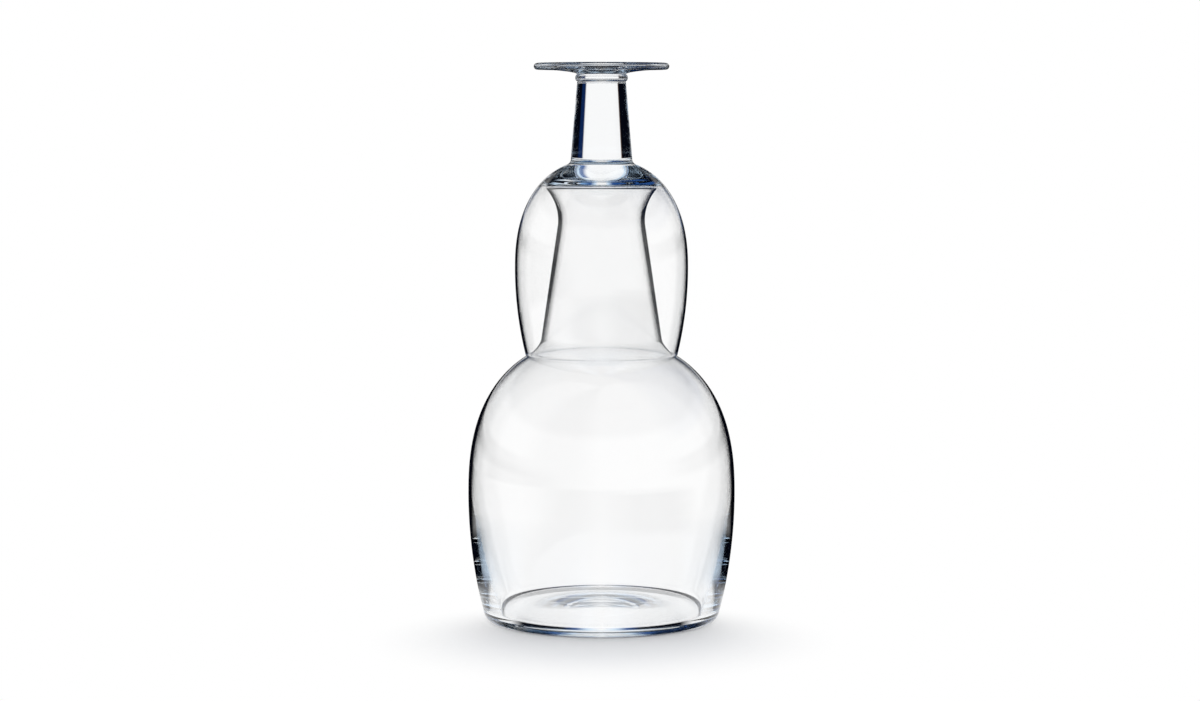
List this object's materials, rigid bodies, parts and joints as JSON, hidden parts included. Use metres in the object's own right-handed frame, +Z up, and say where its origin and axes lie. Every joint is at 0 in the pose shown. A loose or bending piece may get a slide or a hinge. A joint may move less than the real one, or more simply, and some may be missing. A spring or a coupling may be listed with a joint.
{
  "type": "carafe with drinking glass lid",
  "caption": "Clear blown glass carafe with a round belly, conical neck and flared lip, covered by an upturned stemmed drinking glass that lifts off as its lid.",
  "frame": {"origin": "centre of the carafe's base, on the surface it stands on", "axes": "+Z up along the common axis of the carafe and the glass; the object is a body of revolution, so X and Y are free"},
  "size_m": [0.136, 0.136, 0.2836],
  "materials": {
    "carafe_glass": "clear polished blown glass",
    "drinking_glass_clear": "clear polished blown glass"
  },
  "bodies": {
    "carafe": {"carafe_vessel": "carafe_glass"},
    "drinking_glass": {"glass_bowl": "drinking_glass_clear", "glass_stem": "drinking_glass_clear", "glass_collar": "drinking_glass_clear", "glass_foot": "drinking_glass_clear"}
  },
  "joints": [
    {"name": "glass_lift", "type": "slide", "parent": "carafe", "child": "drinking_glass", "axis": [0, 0, 1], "range_m": [0, 0.1]}
  ]
}
